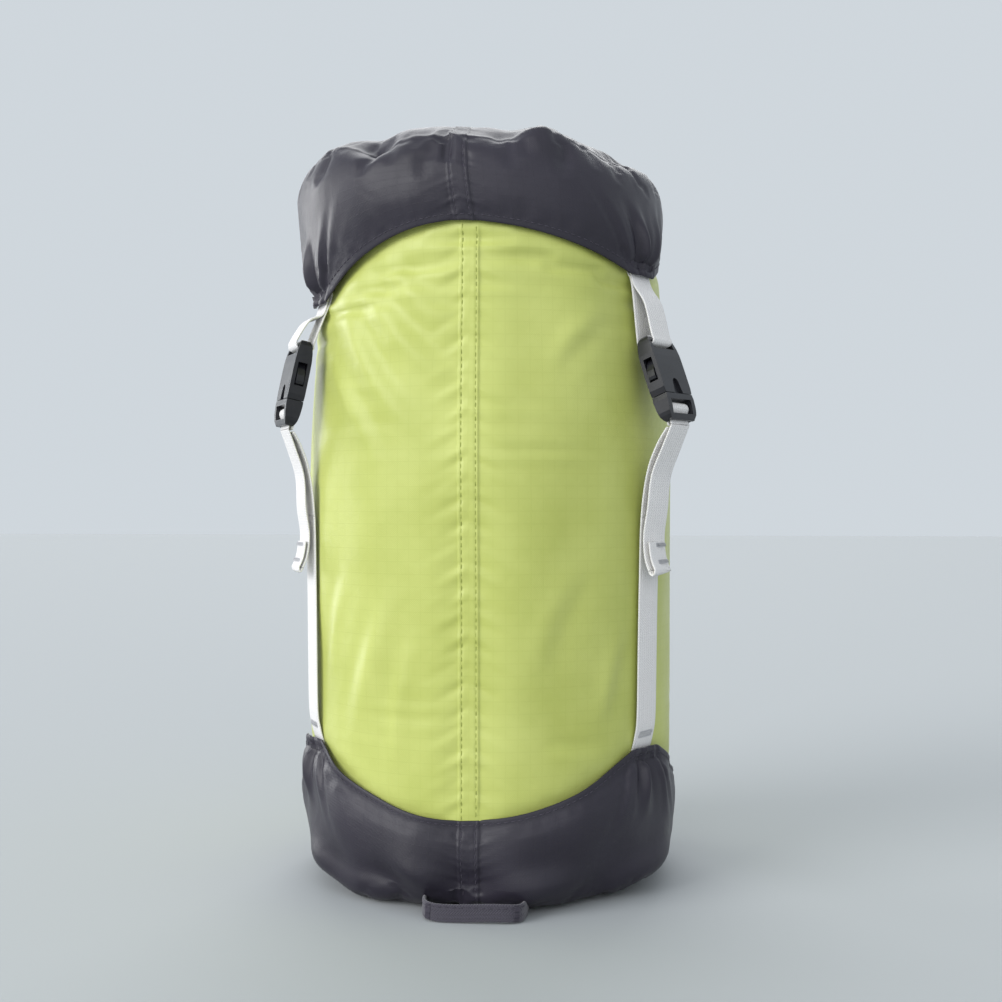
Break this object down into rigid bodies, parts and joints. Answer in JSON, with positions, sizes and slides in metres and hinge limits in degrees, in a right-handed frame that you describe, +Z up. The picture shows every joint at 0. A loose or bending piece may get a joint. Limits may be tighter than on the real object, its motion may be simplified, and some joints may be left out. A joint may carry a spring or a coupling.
{
  "type": "compression sack",
  "caption": "Cylindrical fabric stuff sack with a drawcord mouth, scalloped base cap and lid, and webbing straps with side-release buckles that squeeze its load.",
  "frame": {"origin": "centre of the flat underside of the base, on the sack's axis, where it stands on a floor", "axes": "+Z up along the sack's axis to the lid; -Y is the front, through the front seam; +X is to the right seen from the front"},
  "size_m": [0.1889, 0.1972, 0.344],
  "materials": {
    "green": "satin",
    "charcoal": "satin",
    "webbing": "woven",
    "plastic": "gloss",
    "cord": "braided",
    "steel": "satin"
  },
  "bodies": {
    "sack": {"base_disc": "charcoal", "base_band_left": "charcoal", "base_band_right": "charcoal", "base_band_back": "charcoal", "body_panel_left": "green", "body_panel_right": "green", "body_panel_back": "green", "strap_run_left": "webbing", "strap_run_right": "webbing", "strap_run_back": "webbing"},
    "haul": {"haul_loop": "charcoal"},
    "mouth": {"mouth_shoulder": "green", "hem_channel": "green", "cord_eyelet": "steel", "drawcord": "cord", "cord_knot": "cord", "cord_lock_barrel": "plastic", "cord_lock_spring": "steel"},
    "lock_button": {"cord_lock_button": "plastic"},
    "lid": {"lid_top": "charcoal", "lid_band_left": "charcoal", "lid_band_right": "charcoal", "lid_band_back": "charcoal", "lid_loop_left": "webbing", "lid_loop_right": "webbing", "lid_loop_back": "webbing", "socket_left": "plastic", "socket_right": "plastic", "socket_back": "plastic"},
    "plug_left": {"plug_left": "plastic", "strap_thread_left": "webbing"},
    "prong_left_a": {"prong_left_a": "plastic"},
    "prong_left_b": {"prong_left_b": "plastic"},
    "tail_left": {"strap_tail_left": "webbing"},
    "plug_right": {"plug_right": "plastic", "strap_thread_right": "webbing"},
    "prong_right_a": {"prong_right_a": "plastic"},
    "prong_right_b": {"prong_right_b": "plastic"},
    "tail_right": {"strap_tail_right": "webbing"},
    "plug_back": {"plug_back": "plastic", "strap_thread_back": "webbing"},
    "prong_back_a": {"prong_back_a": "plastic"},
    "prong_back_b": {"prong_back_b": "plastic"},
    "tail_back": {"strap_tail_back": "webbing"}
  },
  "joints": [
    {"name": "compress", "type": "slide", "parent": "sack", "child": "mouth", "axis": [0, 0, -1], "range_m": [0, 0.05], "deforming": ["body_panel_left", "body_panel_right", "body_panel_back", "strap_run_left", "strap_run_right", "strap_run_back"]},
    {"name": "lid_lift", "type": "slide", "parent": "mouth", "child": "lid", "axis": [0, 0, 1], "range_m": [0, 0.12]},
    {"name": "haul_swing", "type": "hinge", "parent": "sack", "child": "haul", "pos_m": [0, -0.086, 0.0088], "axis": [-1, 0, 0], "range_deg": [0, 60]},
    {"name": "button_press", "type": "slide", "parent": "mouth", "child": "lock_button", "axis": [-1, 0, 0], "range_m": [0, 0.003], "stiffness_N_per_m": 200, "deforming": ["cord_lock_spring"]},
    {"name": "unclip_left", "type": "slide", "parent": "mouth", "child": "plug_left", "axis": [-0.1836, -0.0976, -0.9781], "range_m": [0, 0.02], "deforming": ["strap_run_left", "prong_left_a", "prong_left_b"]},
    {"name": "pinch_left_a", "type": "hinge", "parent": "plug_left", "child": "prong_left_a", "pos_m": [-0.08243, -0.05017, 0.21674], "axis": [-0.8637, -0.4592, 0.2079], "range_deg": [0, 7], "stiffness_Nm_per_rad": 0.05},
    {"name": "pinch_left_b", "type": "hinge", "parent": "plug_left", "child": "prong_left_b", "pos_m": [-0.08768, -0.04028, 0.21674], "axis": [-0.8637, -0.4592, 0.2079], "range_deg": [-7, 0], "stiffness_Nm_per_rad": 0.05},
    {"name": "tail_left_lift", "type": "hinge", "parent": "plug_left", "child": "tail_left", "pos_m": [-0.08742, -0.04648, 0.20244], "axis": [-0.4695, 0.8829, 0], "range_deg": [0, 60]},
    {"name": "unclip_right", "type": "slide", "parent": "mouth", "child": "plug_right", "axis": [0.29, -0.1812, -0.9397], "range_m": [0, 0.02], "deforming": ["strap_run_right", "prong_right_a", "prong_right_b"]},
    {"name": "pinch_right_a", "type": "hinge", "parent": "plug_right", "child": "prong_right_a", "pos_m": [0.08641, -0.04739, 0.21699], "axis": [0.7969, -0.498, 0.342], "range_deg": [0, 7], "stiffness_Nm_per_rad": 0.05},
    {"name": "pinch_right_b", "type": "hinge", "parent": "plug_right", "child": "prong_right_b", "pos_m": [0.08047, -0.05689, 0.21699], "axis": [0.7969, -0.498, 0.342], "range_deg": [-7, 0], "stiffness_Nm_per_rad": 0.05},
    {"name": "tail_right_lift", "type": "hinge", "parent": "plug_right", "child": "tail_right", "pos_m": [0.08738, -0.0546, 0.20319], "axis": [-0.5299, -0.848, 0], "range_deg": [0, 60]},
    {"name": "unclip_back", "type": "slide", "parent": "mouth", "child": "plug_back", "axis": [0.009, 0.2587, -0.9659], "range_m": [0, 0.02], "deforming": ["strap_run_back", "prong_back_a", "prong_back_b"]},
    {"name": "pinch_back_a", "type": "hinge", "parent": "plug_back", "child": "prong_back_a", "pos_m": [-0.00219, 0.09779, 0.21682], "axis": [0.0337, 0.9653, 0.2588], "range_deg": [0, 7], "stiffness_Nm_per_rad": 0.05},
    {"name": "pinch_back_b", "type": "hinge", "parent": "plug_back", "child": "prong_back_b", "pos_m": [0.00901, 0.0974, 0.21682], "axis": [0.0337, 0.9653, 0.2588], "range_deg": [-7, 0], "stiffness_Nm_per_rad": 0.05},
    {"name": "tail_back_lift", "type": "hinge", "parent": "plug_back", "child": "tail_back", "pos_m": [0.00353, 0.10102, 0.20267], "axis": [0.9994, -0.0349, 0], "range_deg": [0, 60]}
  ],
  "couplings": [
    {"joint": "pinch_left_b", "follows": "pinch_left_a", "ratio": -1},
    {"joint": "pinch_right_b", "follows": "pinch_right_a", "ratio": -1},
    {"joint": "pinch_back_b", "follows": "pinch_back_a", "ratio": -1}
  ]
}
